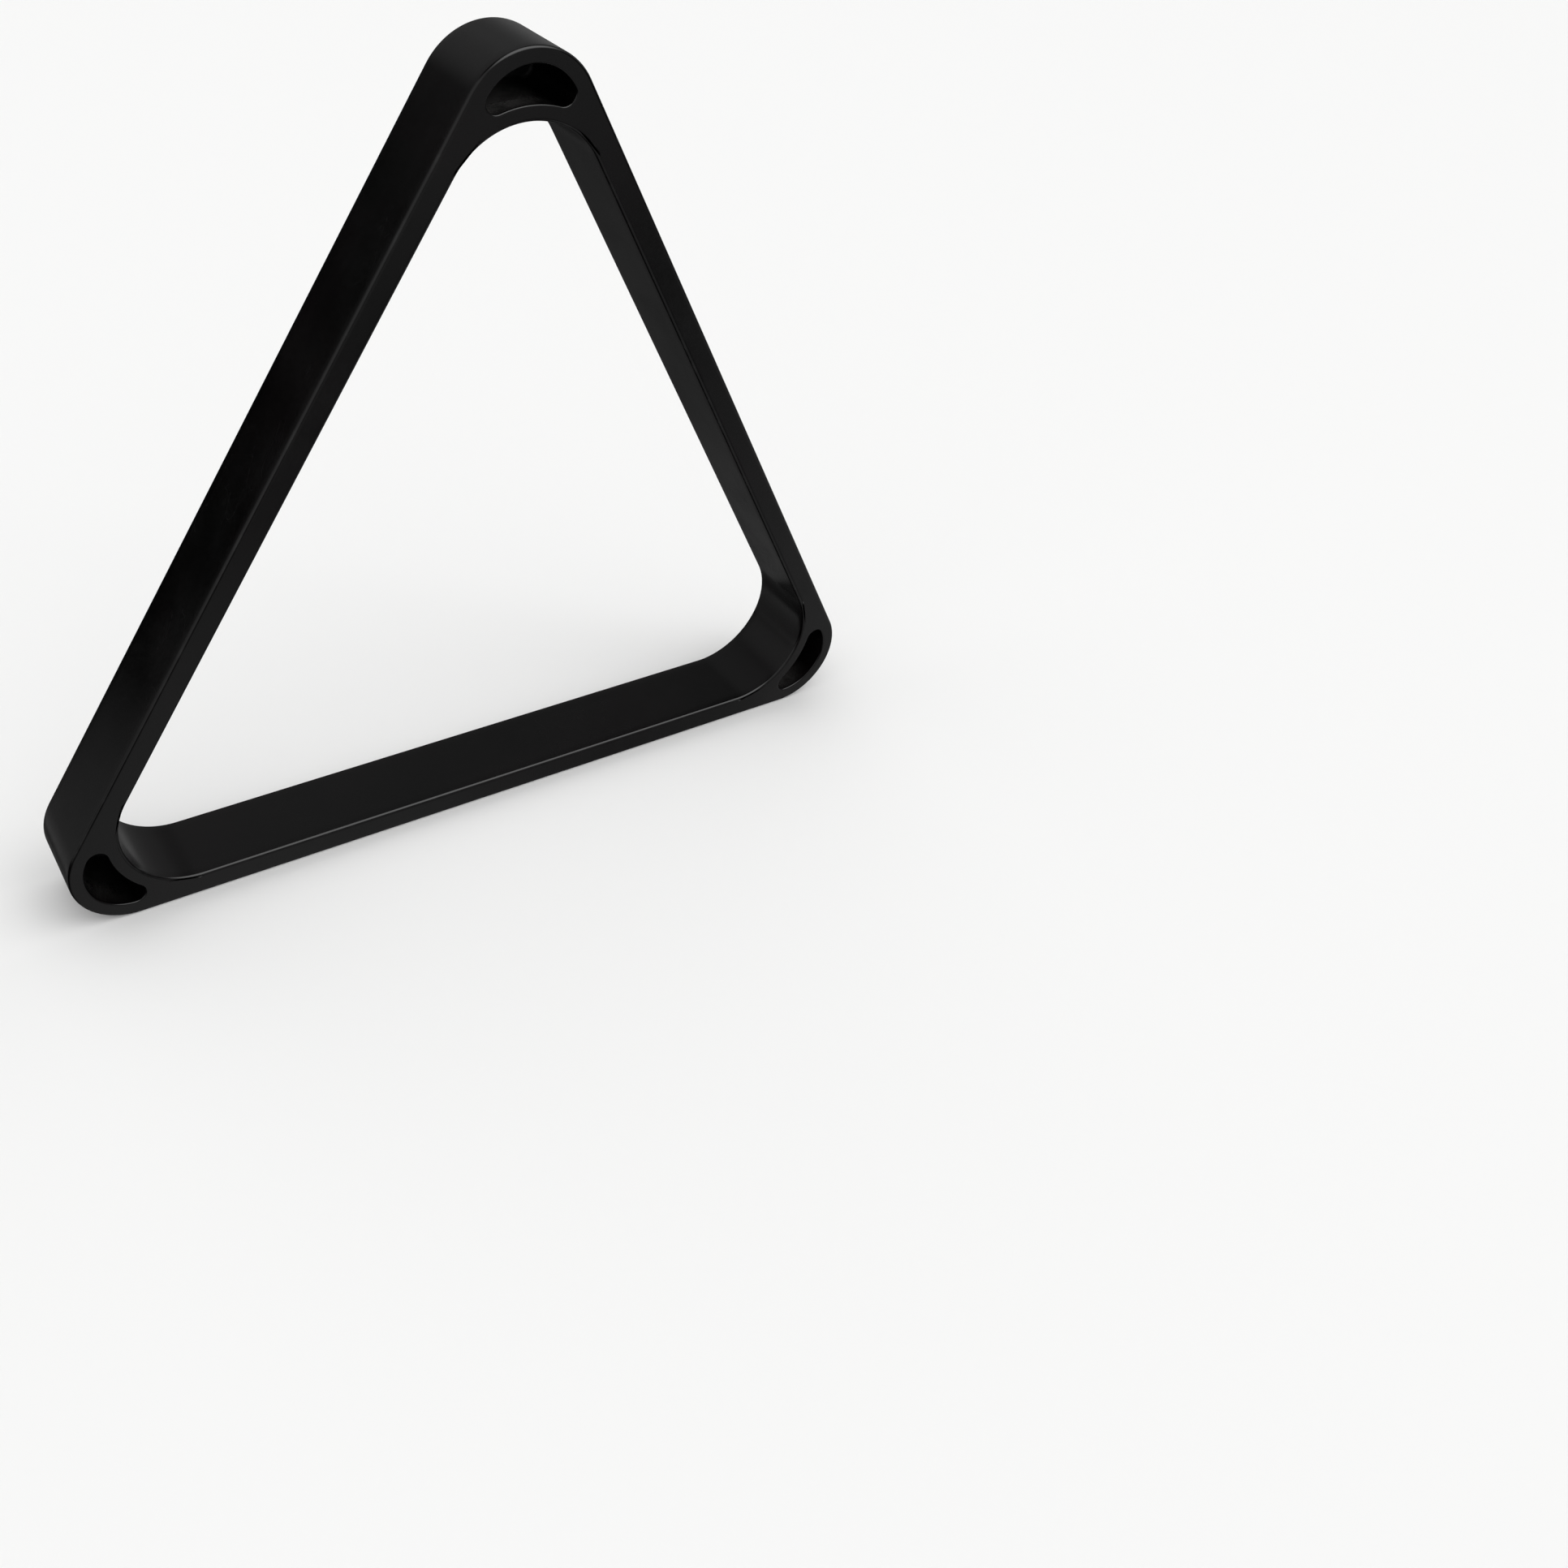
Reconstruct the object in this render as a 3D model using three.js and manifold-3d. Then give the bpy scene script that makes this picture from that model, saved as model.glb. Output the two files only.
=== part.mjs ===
// Triangle rack for pool balls: one moulded frame that stands on its base bar.
// X runs to the right, Y to the back, Z up to the apex; the origin is under the middle of the base bar.
import * as THREE from 'three';
import Module from 'manifold-3d';

const wasm = await Module();
wasm.setup();

// The balls that the rack holds.
const ballDiameter = 57.15;
const ballRows = 5;
const ballClearance = 0.8; // between the outer balls and each bar

// The frame, in millimetres.
const barThickness = 8.8;
const frameDepth = 30;
const insideCornerRadius = 28.4;
const outsideCornerRadius = 23.6;
const edgeRounding = 1.1; // along every edge of the two faces

// The crescent pocket that lightens each thick corner, open at the front.
const pocketWall = 5.2; // to the corner's outside and to its inside
const pocketSideWall = 5.65; // to the outside of the two bars that meet there
const pocketFloor = 3;
const pocketTipRadius = 3.8;
const tipLimit = 0.45; // the tips are no rounder than this share of the pocket's height
const pocketMouthRounding = 0.5;
const pocketFloorRounding = 1.5;

// Fineness of the curved stretches.
const cornerSteps = 16;
const roundingSteps = 3;
const pocketArcSteps = 12;
const pocketTipSteps = 5;
const cutMargin = 1; // how far a cutting shape stands past a face

// Distances from the middle of the triangle, worked out from the sizes above.
const rowPitch = ballDiameter * (ballRows - 1);
const insideReach = rowPitch / (2 * Math.sqrt(3)) + ballDiameter / 2 + ballClearance;
const outsideReach = insideReach + barThickness;
const insideArcCentre = 2 * (insideReach - insideCornerRadius);
const outsideArcCentre = 2 * (outsideReach - outsideCornerRadius);
const pocketOuterEdge = outsideArcCentre + outsideCornerRadius - pocketWall;
const pocketOuterRadius = outsideCornerRadius + pocketWall - 2 * pocketSideWall;
const pocketOuterCentre = pocketOuterEdge - pocketOuterRadius;
const pocketInnerRadius = insideCornerRadius + pocketWall;
const pocketHeight = pocketOuterEdge - insideArcCentre - pocketInnerRadius;
const tipRounding = Math.min(pocketTipRadius, tipLimit * pocketHeight);
const apexAngle = Math.PI / 2;
const thirdTurn = (2 * Math.PI) / 3;

const plastic = new THREE.MeshStandardMaterial({
  name: 'black_plastic', color: 0x17171a, roughness: 0.42, metalness: 0,
});

// Points along an arc, both ends included.
function arcPoints(x, y, radius, from, to, steps) {
  const points = [];
  for (let i = 0; i <= steps; i++) {
    const angle = from + ((to - from) * i) / steps;
    points.push(new THREE.Vector2(x + radius * Math.cos(angle), y + radius * Math.sin(angle)));
  }
  return points;
}

// A triangle with round corners: straight sides at one reach from the middle, joined by three arcs.
function roundTriangle(reach, cornerRadius) {
  const centre = 2 * (reach - cornerRadius);
  const points = [];
  for (let corner = 0; corner < 3; corner++) {
    const angle = apexAngle + corner * thirdTurn;
    const x = centre * Math.cos(angle);
    const y = centre * Math.sin(angle);
    points.push(...arcPoints(x, y, cornerRadius, angle - Math.PI / 3, angle + Math.PI / 3, cornerSteps));
  }
  return points;
}

// The pocket's outline at the apex: an outer arc, an inner arc and a round tip at each end.
// A positive spread moves the whole outline outwards by that much.
function crescent(spread) {
  const outerToTip = pocketOuterRadius - tipRounding;
  const innerToTip = pocketInnerRadius + tipRounding;
  const apart = pocketOuterCentre - insideArcCentre;
  const tipRise = (innerToTip ** 2 - outerToTip ** 2 - apart ** 2) / (2 * apart);
  const tipX = Math.sqrt(outerToTip ** 2 - tipRise ** 2);
  const tipY = pocketOuterCentre + tipRise;
  const outerAngle = Math.atan2(tipRise, tipX);
  const innerAngle = Math.atan2(tipY - insideArcCentre, tipX);
  const tipRadius = tipRounding + spread;
  const backOfTip = innerAngle - Math.PI;
  return [
    ...arcPoints(0, pocketOuterCentre, pocketOuterRadius + spread,
      outerAngle, Math.PI - outerAngle, pocketArcSteps),
    ...arcPoints(-tipX, tipY, tipRadius,
      Math.PI - outerAngle, 2 * Math.PI - innerAngle, pocketTipSteps).slice(1),
    ...arcPoints(0, insideArcCentre, pocketInnerRadius - spread,
      Math.PI - innerAngle, innerAngle, pocketArcSteps).slice(1),
    ...arcPoints(tipX, tipY, tipRadius, backOfTip, outerAngle, pocketTipSteps).slice(1, -1),
  ];
}

function turned(points, angle) {
  const middle = new THREE.Vector2(0, 0);
  return points.map((point) => point.clone().rotateAround(middle, angle));
}

// A closed solid through outlines of equal length, each at its own height, lowest first.
function loft(layers) {
  const count = layers[0].outline.length;
  const corners = layers.flatMap(({ outline, z }) => outline.flatMap(({ x, y }) => [x, y, z]));
  const faces = [];
  for (let base = 0; base < (layers.length - 1) * count; base += count) {
    for (let i = 0; i < count; i++) {
      const a = base + i;
      const b = base + ((i + 1) % count);
      faces.push(a, b, b + count, a, b + count, a + count);
    }
  }
  const top = (layers.length - 1) * count;
  for (const [a, b, c] of THREE.ShapeUtils.triangulateShape(layers[0].outline, [])) {
    faces.push(c, b, a);
  }
  for (const [a, b, c] of THREE.ShapeUtils.triangulateShape(layers.at(-1).outline, [])) {
    faces.push(top + a, top + b, top + c);
  }
  return new wasm.Manifold(new wasm.Mesh({
    numProp: 3,
    vertProperties: new Float32Array(corners),
    triVerts: new Uint32Array(faces),
  }));
}

// A quarter circle from a face round to a wall: how far in from the wall, how far from the face.
function quarterRound(radius) {
  return arcPoints(radius, radius, radius, -Math.PI / 2, -Math.PI, roundingSteps)
    .map(({ x, y }) => ({ inset: x, drop: y }));
}

// The outside of the frame, rounded over at both faces.
function outsideBlock() {
  const front = quarterRound(edgeRounding).map(({ inset, drop }) => ({
    outline: roundTriangle(outsideReach - inset, outsideCornerRadius - inset),
    z: frameDepth / 2 - drop,
  })).reverse();
  const back = front.map(({ outline, z }) => ({ outline, z: -z })).reverse();
  return loft([...back, ...front]);
}

// The space for the balls, right through, wider at both faces where its edges are rounded over.
function ballSpace() {
  const front = quarterRound(edgeRounding).map(({ inset, drop }) => ({
    outline: roundTriangle(insideReach + inset, insideCornerRadius + inset),
    z: frameDepth / 2 - drop,
  })).reverse();
  front.push({ outline: front.at(-1).outline, z: frameDepth / 2 + cutMargin });
  const back = front.map(({ outline, z }) => ({ outline, z: -z })).reverse();
  return loft([...back, ...front]);
}

// One crescent pocket with its mouth in the front face, at a corner turned from the apex.
function cornerPocket(angle) {
  const floorHeight = pocketFloor - frameDepth / 2;
  const floor = quarterRound(pocketFloorRounding).map(({ inset, drop }) => ({
    outline: turned(crescent(-inset), angle), z: floorHeight + drop,
  }));
  const mouth = quarterRound(pocketMouthRounding).map(({ inset, drop }) => ({
    outline: turned(crescent(inset), angle), z: frameDepth / 2 - drop,
  })).reverse();
  mouth.push({ outline: mouth.at(-1).outline, z: frameDepth / 2 + cutMargin });
  return loft([...floor, ...mouth]);
}

function rackFrame() {
  let solid = outsideBlock().subtract(ballSpace());
  for (let corner = 0; corner < 3; corner++) {
    solid = solid.subtract(cornerPocket(corner * thirdTurn));
  }
  const { vertProperties, triVerts } = solid.getMesh();
  const geometry = new THREE.BufferGeometry();
  geometry.setAttribute('position', new THREE.BufferAttribute(vertProperties, 3));
  geometry.setIndex(new THREE.BufferAttribute(triVerts, 1));
  const mesh = new THREE.Mesh(geometry.toNonIndexed(), plastic);
  mesh.geometry.computeVertexNormals();
  mesh.name = 'rack_frame';
  return mesh;
}

// The frame is drawn lying down, its middle at zero and its front face up, then stood on its base bar.
const rack = new THREE.Group();
rack.add(rackFrame());
rack.rotation.x = Math.PI / 2;
rack.position.z = outsideReach;

export default rack;
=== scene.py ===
import bmesh
import bpy
import numpy as np
from math import cos, radians, sin, sqrt
from mathutils import Euler, Matrix, Vector


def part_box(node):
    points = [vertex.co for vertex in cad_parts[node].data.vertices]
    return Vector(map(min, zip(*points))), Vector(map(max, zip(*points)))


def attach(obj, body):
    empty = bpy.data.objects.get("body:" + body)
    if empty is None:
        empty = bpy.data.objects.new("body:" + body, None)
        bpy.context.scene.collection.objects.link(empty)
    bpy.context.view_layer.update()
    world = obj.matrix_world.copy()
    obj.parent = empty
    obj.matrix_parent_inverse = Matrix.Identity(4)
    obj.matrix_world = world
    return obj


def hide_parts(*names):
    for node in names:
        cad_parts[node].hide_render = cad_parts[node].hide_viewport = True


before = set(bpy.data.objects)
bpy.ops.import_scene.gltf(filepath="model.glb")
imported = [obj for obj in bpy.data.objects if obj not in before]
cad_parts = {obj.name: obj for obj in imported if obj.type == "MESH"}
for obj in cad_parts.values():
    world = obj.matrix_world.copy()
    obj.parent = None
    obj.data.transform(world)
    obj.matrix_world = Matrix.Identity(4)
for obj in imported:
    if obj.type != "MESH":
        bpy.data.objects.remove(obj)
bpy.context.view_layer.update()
rackLow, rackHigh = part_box("rack_frame")
print("frame loaded:", sorted(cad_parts))


cameraPlace = {
    "fromMiddle": (-0.2400, -0.4261, 0.2848),  # from the middle of the rack's box
    "turnedRight": 32.84,                      # degrees from looking straight back
    "tiltedDown": 35.42,
    "rolled": 4.81,
    "lens": 37.45,
    "shiftRight": 0.1415,
    "shiftUp": -0.1104,
}


def addCamera(place):
    data = bpy.data.cameras.new("camera")
    data.sensor_width = 36
    data.lens = place["lens"]
    data.shift_x = place["shiftRight"]
    data.shift_y = place["shiftUp"]
    camera = bpy.data.objects.new("camera", data)
    aim = Euler((radians(90 - place["tiltedDown"]), 0, -radians(place["turnedRight"])))
    turn = aim.to_matrix() @ Matrix.Rotation(radians(place["rolled"]), 3, "Z")
    spot = (rackLow + rackHigh) / 2 + Vector(place["fromMiddle"])
    camera.matrix_world = Matrix.Translation(spot) @ turn.to_4x4()
    bpy.context.scene.collection.objects.link(camera)
    bpy.context.scene.camera = camera


addCamera(cameraPlace)
print("camera placed")


rackShape = {
    "barThickness": 0.0088,
    "insideCornerRadius": 0.0284,
    "outsideCornerRadius": 0.0236,
    "edgeRounding": 0.0011,
    "mergeDistance": 0.000002,
    "barSteps": 44,
    "cornerSteps": 44,
    "roundingSteps": 7,
    "wallSteps": 10,
    "faceSteps": 12,
}

pocketShape = {
    "wall": 0.0052,            # to the corner's outside and to its inside
    "sideWall": 0.00565,       # to the outside of the two bars
    "floor": 0.003,
    "tipRadius": 0.0038,
    "mouthRounding": 0.0005,
    "floorRounding": 0.0015,
    "wallSteps": 8,
    "floorSteps": 6,
    "rimSteps": 9,             # from the mouth out to the corner's edges
    "pocketPaintedLight": (1.0, 0.25, 0.7),  # painted light in each pocket, standing in for the light on its walls and floor: at the apex, left and right corners
    "paintedLightThins": 0.35,         # share of the pocket's width, from its left end, over which the painted light fades towards the shaded right end
    "paintedLightEnds": 0.80,
    "paintedLightStarts": 0.2,         # share of the depth over which the painted light grows
}

depth = rackHigh.y - rackLow.y
outsideReach = (rackHigh.z - rackLow.z + rackShape["outsideCornerRadius"]) / 3
insideReach = outsideReach - rackShape["barThickness"]
outsideCentre = 2 * (outsideReach - rackShape["outsideCornerRadius"])
insideCentre = 2 * (insideReach - rackShape["insideCornerRadius"])
cornerAngles = np.radians([90, 210, 330])


# points on a circle: its centre plus the radius times the cosine and sine of even angles
def arc(centreX, centreY, radius, start, end, steps):
    angle = np.linspace(start, end, steps + 1)
    return np.stack([centreX + radius * np.cos(angle), centreY + radius * np.sin(angle)], -1)


def turned(points, angle):
    c, s = np.cos(angle), np.sin(angle)
    return points @ np.array([[c, s], [-s, c]])


# a straight row of points between two ends: each end's share times its place
def between(first, last, steps):
    share = np.linspace(0, 1, steps + 1)[:, None]
    return first + share * (last - first)


# round triangle: three arcs of 120 degrees about the corner centres, joined by straight sides;
# the direction outwards is the angle along each arc, and stays the same along each side
def roundTriangle(centreDistance, cornerRadius, shape):
    points, outwards = [], []
    for k, angle in enumerate(cornerAngles):
        start, end = angle - np.pi / 3, angle + np.pi / 3
        x, y = centreDistance * np.cos(angle), centreDistance * np.sin(angle)
        corner = arc(x, y, cornerRadius, start, end, shape["cornerSteps"])
        after = cornerAngles[(k + 1) % 3]
        nextX, nextY = centreDistance * np.cos(after), centreDistance * np.sin(after)
        nextStart = arc(nextX, nextY, cornerRadius, end, end, 0)[0]
        side = between(corner[-1], nextStart, shape["barSteps"])[1:-1]
        points += [corner, side]
        outwards += [arc(0, 0, 1, start, end, shape["cornerSteps"]),
                     arc(0, 0, 1, end, end, len(side) - 1)]
    return np.concatenate(points), np.concatenate(outwards)


# a quarter circle between a face and a wall, as (in from the wall, away from the face), face first
def quarterRound(radius, steps):
    angle = np.linspace(0, np.pi / 2, steps + 1)
    return radius * np.stack([1 - np.sin(angle), 1 - np.cos(angle)], -1)


# the four-sided faces of a grid of rows and columns, each a set of corner numbers;
# which way they face is put right once all the patches are joined
def gridFaces(rows, columns, closed):
    index = np.arange(rows * columns).reshape(rows, columns)
    if closed:
        index = np.concatenate([index, index[:, :1]], 1)
    a, b = index[:-1, :-1], index[:-1, 1:]
    c, d = index[1:, 1:], index[1:, :-1]
    return np.stack([a, b, c, d], -1).reshape(-1, 4)


patches = []


# keeps one patch: a grid of places and, at each, how round the edge is, how deep in a pocket
# it lies and how much painted light its colour gets there
def addPatch(grid, edge, pocket=0, pocketPaintedLight=0, closed=False):
    rows, columns = grid.shape[:2]
    size = (rows, columns)
    patches.append({
        "places": grid.reshape(-1, 3),
        "edge": np.broadcast_to(edge, size).reshape(-1),
        "pocket": np.broadcast_to(pocket, size).reshape(-1),
        "pocketPaintedLight": np.broadcast_to(pocketPaintedLight, size).reshape(-1),
        "faces": gridFaces(rows, columns, closed),
    })


def flat(points, height):
    return np.concatenate([points, np.full(points.shape[:-1] + (1,), height)], -1)


# carries the section round the triangle: from the front edge of the outside wall, over the
# outside wall, the back face and the inside wall, to the front edge of the inside wall;
# each row is the outside or inside outline, moved in from its wall by the edge's quarter circle
def addOutline(shape):
    outer, outwards = roundTriangle(outsideCentre, shape["outsideCornerRadius"], shape)
    inner, _ = roundTriangle(insideCentre, shape["insideCornerRadius"], shape)
    half, steps = depth / 2, shape["roundingSteps"]
    rounding = quarterRound(shape["edgeRounding"], steps)
    bulge = np.sin(2 * np.linspace(0, np.pi / 2, steps + 1))
    wall = np.linspace(1, -1, shape["wallSteps"] + 1)[1:-1] * (half - shape["edgeRounding"])
    noBulge = np.zeros(len(wall))
    inset = np.concatenate([rounding[:, 0], noBulge, rounding[::-1, 0]])
    height = np.concatenate([half - rounding[:, 1], wall, rounding[::-1, 1] - half])
    edge = np.concatenate([bulge, noBulge, bulge])
    outsideRows = outer[None] - inset[:, None, None] * outwards[None]
    insideRows = inner[None] + inset[:, None, None] * outwards[None]
    across = np.linspace(0, 1, shape["faceSteps"] + 1)[1:-1, None, None]
    backRows = outsideRows[-1] + across * (insideRows[-1] - outsideRows[-1])
    rows = np.concatenate([outsideRows, backRows, insideRows[::-1]])
    heights = np.concatenate([height, np.full(len(backRows), -half), height[::-1]])
    edges = np.concatenate([edge, np.zeros(len(backRows)), edge[::-1]])
    grid = np.concatenate([rows, np.broadcast_to(heights[:, None, None], rows.shape[:2] + (1,))], -1)
    addPatch(grid, edges[:, None], closed=True)
    return outsideRows[0], insideRows[0]


# front face of each bar: straight rows from the outside edge to the inside edge
def addBarFaces(outerEdge, innerEdge, shape):
    perCorner = shape["cornerSteps"] + shape["barSteps"]
    for k in range(3):
        places = np.arange(k * perCorner + shape["cornerSteps"], (k + 1) * perCorner + 1) % len(outerEdge)
        across = np.linspace(0, 1, shape["faceSteps"] + 1)[:, None, None]
        rows = innerEdge[places] + across * (outerEdge[places] - innerEdge[places])
        addPatch(flat(rows, depth / 2), 0)


# the crescent: an outer arc, a tip arc, an inner arc and a tip arc, anticlockwise;
# a spread moves every arc outwards, and the tip centres stay where the two big arcs' offsets cross
def crescent(spread, shape, rack):
    outerEdge = outsideCentre + rack["outsideCornerRadius"] - shape["wall"]
    outerRadius = rack["outsideCornerRadius"] + shape["wall"] - 2 * shape["sideWall"]
    innerRadius = rack["insideCornerRadius"] + shape["wall"]
    outerCentre = outerEdge - outerRadius
    toOuter, toInner = outerRadius - shape["tipRadius"], innerRadius + shape["tipRadius"]
    apart = outerCentre - insideCentre
    rise = (toInner ** 2 - toOuter ** 2 - apart ** 2) / (2 * apart)
    tipX, tipY = sqrt(toOuter ** 2 - rise ** 2), outerCentre + rise
    outerTurn = np.arctan2(rise, tipX)
    innerTurn = np.arctan2(tipY - insideCentre, tipX)
    tip, arcSteps, tipSteps = shape["tipRadius"] + spread, rack["cornerSteps"], rack["faceSteps"]
    return np.concatenate([
        arc(0, outerCentre, outerRadius + spread, outerTurn, np.pi - outerTurn, arcSteps)[:-1],
        arc(-tipX, tipY, tip, np.pi - outerTurn, 2 * np.pi - innerTurn, tipSteps)[:-1],
        arc(0, insideCentre, innerRadius - spread, np.pi - innerTurn, innerTurn, arcSteps)[:-1],
        arc(tipX, tipY, tip, innerTurn - np.pi, outerTurn, tipSteps)[:-1],
    ])


# front face of a corner: rings from the pocket's mouth out to the corner's boundary, spaced by a
# cosine so that they lie closer together near both and the face stays flat up to its edges
def addCornerFace(mouth, angle, rack):
    rounding, steps = rack["edgeRounding"], rack["cornerSteps"]
    sixth, fiveSixths = np.pi / 6, 5 * np.pi / 6
    outer = arc(0, outsideCentre, rack["outsideCornerRadius"] - rounding, sixth, fiveSixths, steps)
    inner = arc(0, insideCentre, rack["insideCornerRadius"] + rounding, fiveSixths, sixth, steps)
    left = between(outer[-1], inner[0], rack["faceSteps"])
    right = between(inner[-1], outer[0], rack["faceSteps"])
    boundary = np.concatenate([outer[:-1], left[:-1], inner[:-1], right[:-1]])
    share = (0.5 - 0.5 * np.cos(np.linspace(0, np.pi, pocketShape["rimSteps"] + 1)))[:, None, None]
    rings = mouth + share * (boundary - mouth)
    addPatch(flat(turned(rings, angle), depth / 2), 0, closed=True)


# the pocket: the crescent carried down from its rounded mouth to its rounded floor,
# then rings in to the arc along the middle of the floor;
# its painted light grows evenly over the first stretch of depth and thins out evenly towards the shaded
# right end
def addPocket(angle, cornerPaintedLight, shape, rack):
    steps = rack["roundingSteps"]
    mouth = quarterRound(shape["mouthRounding"], steps)
    foot = quarterRound(shape["floorRounding"], steps)[::-1]
    top, bottom = depth / 2, shape["floor"] - depth / 2
    wallTop, wallBottom = top - shape["mouthRounding"], bottom + shape["floorRounding"]
    wall = np.linspace(wallTop, wallBottom, shape["wallSteps"] + 1)[1:-1]
    spread = np.concatenate([mouth[:, 0], np.zeros(len(wall)), -foot[:, 0]])
    height = np.concatenate([top - mouth[:, 1], wall, bottom + foot[:, 1]])
    loops = np.stack([crescent(s, shape, rack) for s in spread])
    last, arcSteps, tipSteps = loops[-1], rack["cornerSteps"], rack["faceSteps"]
    outer = last[:arcSteps + 1]
    inner = last[arcSteps + tipSteps:2 * arcSteps + tipSteps + 1][::-1]
    middle = (outer + inner) / 2
    tip = np.ones((tipSteps - 1, 1))
    spine = np.concatenate([middle, tip * middle[-1], middle[::-1], tip * middle[0]])
    share = np.linspace(0, 1, shape["floorSteps"] + 1)[1:, None, None]
    floor = last + share * (spine - last)
    rows = np.concatenate([loops, floor])
    heights = np.concatenate([height, np.full(len(floor), bottom)])
    grid = np.concatenate([turned(rows, angle),
                           np.broadcast_to(heights[:, None, None], rows.shape[:2] + (1,))], -1)
    bulge = np.sin(2 * np.linspace(0, np.pi / 2, steps + 1))
    edge = np.concatenate([bulge, np.zeros(len(rows) - len(bulge))])
    deepness = ((top - heights) / (top - bottom))[:, None]
    fromLeft = (grid[..., 0] - grid[..., 0].min()) / np.ptp(grid[..., 0])
    # painted light: paler towards the left of each pocket, where the light falls, and gone at the shaded
    # right end
    left = np.clip((shape["paintedLightEnds"] - fromLeft) / (shape["paintedLightEnds"] - shape["paintedLightThins"]), 0, 1)
    pocketPaintedLight = cornerPaintedLight * left * np.clip(deepness / shape["paintedLightStarts"], 0, 1)
    addPatch(grid[::-1], edge[::-1, None], deepness[::-1], pocketPaintedLight[::-1], closed=True)
    addCornerFace(loops[0], angle, rack)


# stands the flat drawing up: across stays X, the drawing's height becomes Z, its front becomes -Y
def standUp(places):
    middle = (rackLow + rackHigh) / 2
    return np.stack([places[:, 0] + middle.x, middle.y - places[:, 2],
                     places[:, 1] + rackLow.z + outsideReach], -1)


def makeRack(name):
    outerEdge, innerEdge = addOutline(rackShape)
    addBarFaces(outerEdge, innerEdge, rackShape)
    for angle, cornerPaintedLight in zip(cornerAngles - np.pi / 2, pocketShape["pocketPaintedLight"]):
        addPocket(angle, cornerPaintedLight, pocketShape, rackShape)
    places = standUp(np.concatenate([p["places"] for p in patches]))
    starts = np.cumsum([0] + [len(p["places"]) for p in patches[:-1]])
    faces = np.concatenate([p["faces"] + start for p, start in zip(patches, starts)])
    mesh = bpy.data.meshes.new(name)
    mesh.from_pydata(places.tolist(), [], faces.tolist())
    for key in ("edge", "pocket", "pocketPaintedLight"):
        values = np.concatenate([p[key] for p in patches]).astype(np.float32)
        mesh.attributes.new(key, "FLOAT", "POINT").data.foreach_set("value", values)
    solid = bmesh.new()
    solid.from_mesh(mesh)
    bmesh.ops.remove_doubles(solid, verts=solid.verts, dist=rackShape["mergeDistance"])
    bmesh.ops.recalc_face_normals(solid, faces=solid.faces)
    openEdges = sum(len(edge.link_faces) != 2 for edge in solid.edges)
    solid.to_mesh(mesh)
    print(name, "has", len(solid.faces), "faces, open edges:", openEdges, "volume", solid.calc_volume())
    solid.free()
    mesh.shade_smooth()
    piece = bpy.data.objects.new(name, mesh)
    bpy.context.scene.collection.objects.link(piece)
    return piece


rack = makeRack("rackBody")
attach(rack, "root")
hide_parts("rack_frame")


plasticLook = {
    "colour": (0.0006, 0.0006, 0.0006, 1),
    "tint": (0.0014, 0.0009, 0.0011, 1),      # faint warm patches in the black
    "edgeColour": (0.006, 0.006, 0.006, 1),   # where the rounded edges are rubbed
    "paintedLightColour": (0.110, 0.107, 0.104, 1),   # painted light low in the pockets, pale grey in place of the light on their walls and floors
    "paintedLightShare": 0.6,
    "smooth": 0.15,                           # roughness where the mould was polished
    "rough": 0.25,                            # roughness where it is worn dull
    "pocketRough": 0.30,                      # how much duller the pockets are
    "grainSize": 0.0006,
    "grainDepth": 0.000004,
    "waveSize": 0.030,
    "waveDepth": 0.00012,
    "tintSize": 0.045,                        # each band says where its noise starts and ends
    "tintBand": (0.40, 0.68),
    "rubSize": 0.006,
    "rubBand": (0.48, 0.70),
    "paintedLightSpotSize": 0.005,
    "paintedLightSpotBand": (0.25, 0.65),
    "paintedLightLeast": 0.35,                        # of the painted light, between its brighter spots
    "wearSize": 0.028,
    "wearBand": (0.30, 0.72),
    "mottleSize": 0.0016,
    "mottleBand": (0.30, 0.70),
    "mottle": 0.02,                           # how far the mottling moves the roughness
    "edgePolish": 0.05,                       # how much smoother the rounded edges are
    "scratchTurns": (28, -52),                # degrees, one set of scratches for each
    "scratchSpacing": 0.012,
    "scratchStretch": 0.04,                   # width of the noise over its length
    "scratchPatch": 0.02,
    "scratchBand": (0.50, 0.62),
    "scratchWidth": 0.00006,
    "scratchDepth": 0.000003,
    "scratchDulling": 0.08,
    "refraction": 1.46,
}


# a node with its settings and unlinked values; values may name a socket or give its number
def addNode(tree, kind, settings=None, values=None):
    node = tree.nodes.new("ShaderNode" + kind)
    for key, value in (settings or {}).items():
        setattr(node, key, value)
    for key, value in (values or {}).items():
        node.inputs[key].default_value = value
    return node


def addNoise(tree, place, size, detail=3.0, warp=0.0):
    node = addNode(tree, "TexNoise", values={"Scale": 1 / size, "Detail": detail, "Distortion": warp})
    tree.links.new(place, node.inputs["Vector"])
    return node.outputs["Fac"]


# reads a value over a band as 0 to 1, by a smooth step, then spreads it between two results
def addRange(tree, value, band, first=0.0, last=1.0):
    node = addNode(tree, "MapRange", {"interpolation_type": "SMOOTHSTEP"},
                   {"From Min": band[0], "From Max": band[1], "To Min": first, "To Max": last})
    tree.links.new(value, node.inputs["Value"])
    return node.outputs["Result"]


def addMath(tree, kind, first, second=None, amount=0.0):
    node = addNode(tree, "Math", {"operation": kind}, {1: amount})
    tree.links.new(first, node.inputs[0])
    if second is not None:
        tree.links.new(second, node.inputs[1])
    return node.outputs[0]


def addMix(tree, share, first, second):
    node = addNode(tree, "Mix", {"data_type": "RGBA"})
    tree.links.new(share, node.inputs["Factor"])
    for socket, colour in ((node.inputs[6], first), (node.inputs[7], second)):
        if isinstance(colour, tuple):
            socket.default_value = colour
        else:
            tree.links.new(colour, socket)
    return node.outputs[2]


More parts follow.
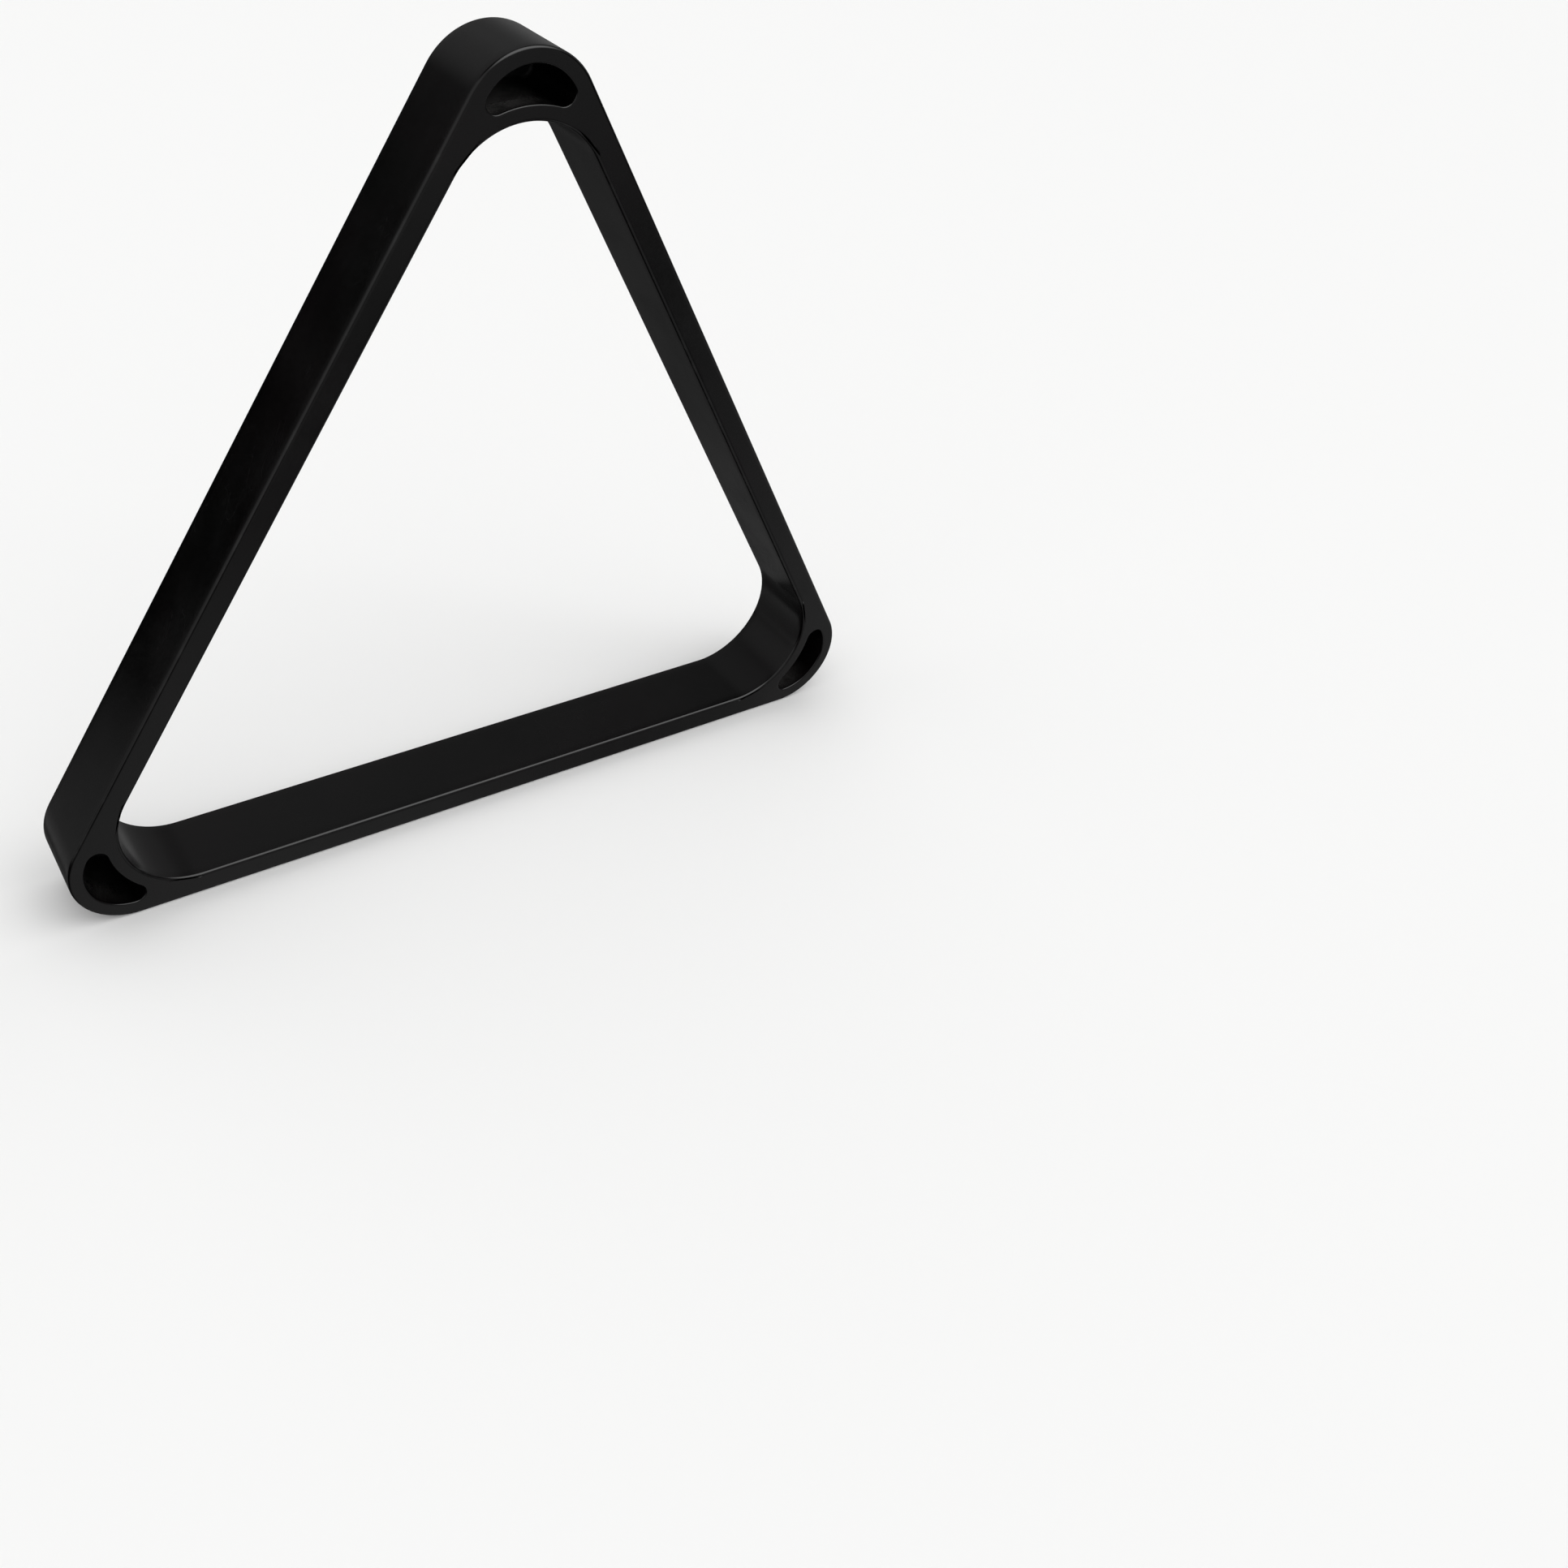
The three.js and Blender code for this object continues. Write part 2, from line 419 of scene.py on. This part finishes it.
# one set of hairline scratches: the thin lines where a stretched noise crosses its middle value
def addScratches(tree, coordinates, look, turn):
    mapping = addNode(tree, "Mapping", values={"Rotation": (0, radians(turn), 0),
                                              "Scale": (1, 1, look["scratchStretch"])})
    tree.links.new(coordinates, mapping.inputs["Vector"])
    noise = addNoise(tree, mapping.outputs["Vector"], look["scratchSpacing"], 0.0)
    away = addMath(tree, "ABSOLUTE", addMath(tree, "SUBTRACT", noise, amount=0.5))
    line = addRange(tree, away, (0, look["scratchWidth"] / look["scratchSpacing"]), 1.0, 0.0)
    patch = addNoise(tree, coordinates, look["scratchPatch"], 2.0)
    stretches = addRange(tree, patch, look["scratchBand"])
    return addMath(tree, "MULTIPLY", line, stretches)


def makePlastic(name, look):
    material = bpy.data.materials.new(name)
    material.use_nodes = True
    tree = material.node_tree
    shader = tree.nodes["Principled BSDF"]
    shader.inputs["IOR"].default_value = look["refraction"]
    coordinates = addNode(tree, "TexCoord").outputs["Object"]
    edge = addNode(tree, "Attribute", {"attribute_name": "edge"}).outputs["Fac"]
    pocket = addNode(tree, "Attribute", {"attribute_name": "pocket"}).outputs["Fac"]
    paintedLightMask = addNode(tree, "Attribute", {"attribute_name": "pocketPaintedLight"}).outputs["Fac"]

    # colour: black with warm patches, rubbed paler in places along the edges, with painted light low in
    # the pockets
    cloud = addRange(tree, addNoise(tree, coordinates, look["tintSize"], 4.0), look["tintBand"])
    rub = addRange(tree, addNoise(tree, coordinates, look["rubSize"], 5.0), look["rubBand"])
    rubbed = addMath(tree, "MULTIPLY", edge, rub)
    paintedLightSpeckle = addNoise(tree, coordinates, look["paintedLightSpotSize"], 6.0)
    paintedLightSpots = addRange(tree, paintedLightSpeckle, look["paintedLightSpotBand"], look["paintedLightLeast"], 1.0)
    pocketPaintedLight = addMath(tree, "MULTIPLY", paintedLightMask, paintedLightSpots)
    pocketPaintedLight = addMath(tree, "MULTIPLY", pocketPaintedLight, amount=look["paintedLightShare"])
    colour = addMix(tree, cloud, look["colour"], look["tint"])
    colour = addMix(tree, rubbed, colour, look["edgeColour"])
    # painted light: pale grey mixed in low in the pockets, standing in for the light that reaches inside
    # them
    colour = addMix(tree, pocketPaintedLight, colour, look["paintedLightColour"])
    tree.links.new(colour, shader.inputs["Base Color"])

    # roughness: broad worn patches, fine mottling, duller scratches, smoother rubbed edges
    firstTurn, secondTurn = look["scratchTurns"]
    scratches = addMath(tree, "MAXIMUM", addScratches(tree, coordinates, look, firstTurn),
                        addScratches(tree, coordinates, look, secondTurn))
    wear = addNoise(tree, coordinates, look["wearSize"], 5.0)
    worn = addRange(tree, wear, look["wearBand"], look["smooth"], look["rough"])
    fine = addNoise(tree, coordinates, look["mottleSize"], 3.0)
    mottle = addRange(tree, fine, look["mottleBand"], -look["mottle"], look["mottle"])
    dulled = addMath(tree, "MULTIPLY", scratches, amount=look["scratchDulling"])
    polished = addMath(tree, "MULTIPLY", edge, amount=look["edgePolish"])
    inPocket = addMath(tree, "MULTIPLY", pocket, amount=look["pocketRough"])
    roughness = addMath(tree, "ADD", worn, mottle)
    roughness = addMath(tree, "ADD", roughness, dulled)
    roughness = addMath(tree, "SUBTRACT", roughness, polished)
    roughness = addMath(tree, "ADD", roughness, inPocket)
    tree.links.new(roughness, shader.inputs["Roughness"])

    # relief: slow unevenness of the moulding, fine grain, scratches cut in
    bumps = ((addNoise(tree, coordinates, look["waveSize"], 2.0), look["waveDepth"], False),
             (addNoise(tree, coordinates, look["grainSize"], 2.0), look["grainDepth"], False),
             (scratches, look["scratchDepth"], True))
    normal = None
    for height, deep, invert in bumps:
        bump = addNode(tree, "Bump", {"invert": invert}, {"Strength": 1.0, "Distance": deep})
        tree.links.new(height, bump.inputs["Height"])
        if normal is not None:
            tree.links.new(normal, bump.inputs["Normal"])
        normal = bump.outputs["Normal"]
    tree.links.new(normal, shader.inputs["Normal"])
    return material


rack.data.materials.append(makePlastic("blackPlastic", plasticLook))
print("plastic made")


studio = {
    "floorColour": (0.90, 0.90, 0.895, 1),
    "floorSize": 14,
    "lampTurn": 130,            # degrees right of straight back
    "lampUp": 50,
    "lampWidth": 40,            # degrees across, for a soft shadow
    "lampStrength": 0.45,
    "floorRoughness": 0.9,
    "roomStrength": 0.95,       # what lights the floor and shows behind it
    "mirroredStrength": 0.003,  # what the plastic mirrors where there is no glow
    # glows mirrored in the plastic, in degrees and strength: right of straight back, up,
    # half width, width of the soft edge, strength
    "glows": (
        (145, 60, 44, 30, 3.00),   # the key light, in front and above
        (-130, 25, 50, 35, 0.60),  # left of the camera
        (165, 4, 36, 12, 0.25),    # in front, level with the rack
        (150, -30, 42, 30, 0.06),  # the bench in front, in three patches
        (122, -29, 22, 12, 0.28),
        (182, -56, 34, 16, 0.28),
        (-5, 42, 40, 28, 0.17),    # the wall and ceiling behind
        (0, 40, 52, 40, 0.05),
        (92, 26, 34, 26, 0.30),    # the walls on the right, left and beyond
        (-72, 18, 38, 20, 0.30),
        (55, 4, 42, 24, 0.18),
        (-55, -28, 26, 6, 0.17),   # the bench behind and beside
        (-10, -55, 42, 30, 0.04),
        (34, -52, 17, 5, 0.06),
        (0, -36, 18, 9, 0.03),
        (68, -33, 34, 18, 0.32),
    ),
}


def addFloor(look):
    half = look["floorSize"] / 2
    mesh = bpy.data.meshes.new("floor")
    corners = [(-half, -half), (half, -half), (half, half), (-half, half)]
    mesh.from_pydata([(x, y, rackLow.z) for x, y in corners], [], [(0, 1, 2, 3)])
    floor = bpy.data.objects.new("floor", mesh)
    floor.visible_glossy = False  # the glows below the horizon stand for what it would mirror
    material = bpy.data.materials.new("paleFloor")
    material.use_nodes = True
    shader = material.node_tree.nodes["Principled BSDF"]
    shader.inputs["Base Color"].default_value = look["floorColour"]
    shader.inputs["Roughness"].default_value = look["floorRoughness"]
    mesh.materials.append(material)
    bpy.context.scene.collection.objects.link(floor)


# where a direction points: degrees right of straight back and degrees up, as a unit arrow
def pointing(turn, up):
    turn, up = radians(turn), radians(up)
    return Vector((sin(turn) * cos(up), cos(turn) * cos(up), sin(up)))


# a wide, distant lamp that shines into the pockets and gives the floor its faint shadow
def addLamp(look):
    data = bpy.data.lights.new("lamp", "SUN")
    data.angle, data.energy = radians(look["lampWidth"]), look["lampStrength"]
    lamp = bpy.data.objects.new("lamp", data)
    lamp.rotation_euler = pointing(look["lampTurn"], look["lampUp"]).to_track_quat("Z", "Y").to_euler()
    lamp.visible_glossy = False  # the key glow stands for it
    bpy.context.scene.collection.objects.link(lamp)


# one soft round glow: its strength times the smooth step of the cosine of the angle to its middle,
# from its rim to where its soft edge ends
def addGlow(tree, direction, glow):
    turn, up, halfWidth, softEdge, strength = glow
    facing = addNode(tree, "VectorMath", {"operation": "DOT_PRODUCT"}, {1: pointing(turn, up)})
    tree.links.new(direction, facing.inputs[0])
    rim, inside = cos(radians(halfWidth)), cos(radians(halfWidth - softEdge))
    return addRange(tree, facing.outputs["Value"], (rim, inside), 0, strength)


# the room is plain white, except that the plastic mirrors the glows instead
def addRoom(look):
    world = bpy.data.worlds.new("room")
    bpy.context.scene.world = world
    world.use_nodes = True
    tree = world.node_tree
    direction = addNode(tree, "TexCoord").outputs["Generated"]
    mirrored = None
    for glow in look["glows"]:
        light = addGlow(tree, direction, glow)
        if mirrored is None:
            mirrored = addMath(tree, "ADD", light, amount=look["mirroredStrength"])
        else:
            mirrored = addMath(tree, "ADD", mirrored, light)
    glossy = addNode(tree, "LightPath").outputs["Is Glossy Ray"]
    strength = addNode(tree, "Mix", values={2: look["roomStrength"]})
    tree.links.new(glossy, strength.inputs["Factor"])
    tree.links.new(mirrored, strength.inputs[3])
    tree.links.new(strength.outputs[0], tree.nodes["Background"].inputs["Strength"])
    tree.nodes["Background"].inputs["Color"].default_value = (1, 1, 1, 1)


addFloor(studio)
addLamp(studio)
addRoom(studio)
bpy.context.scene.view_settings.view_transform = "Standard"
print("studio lit")
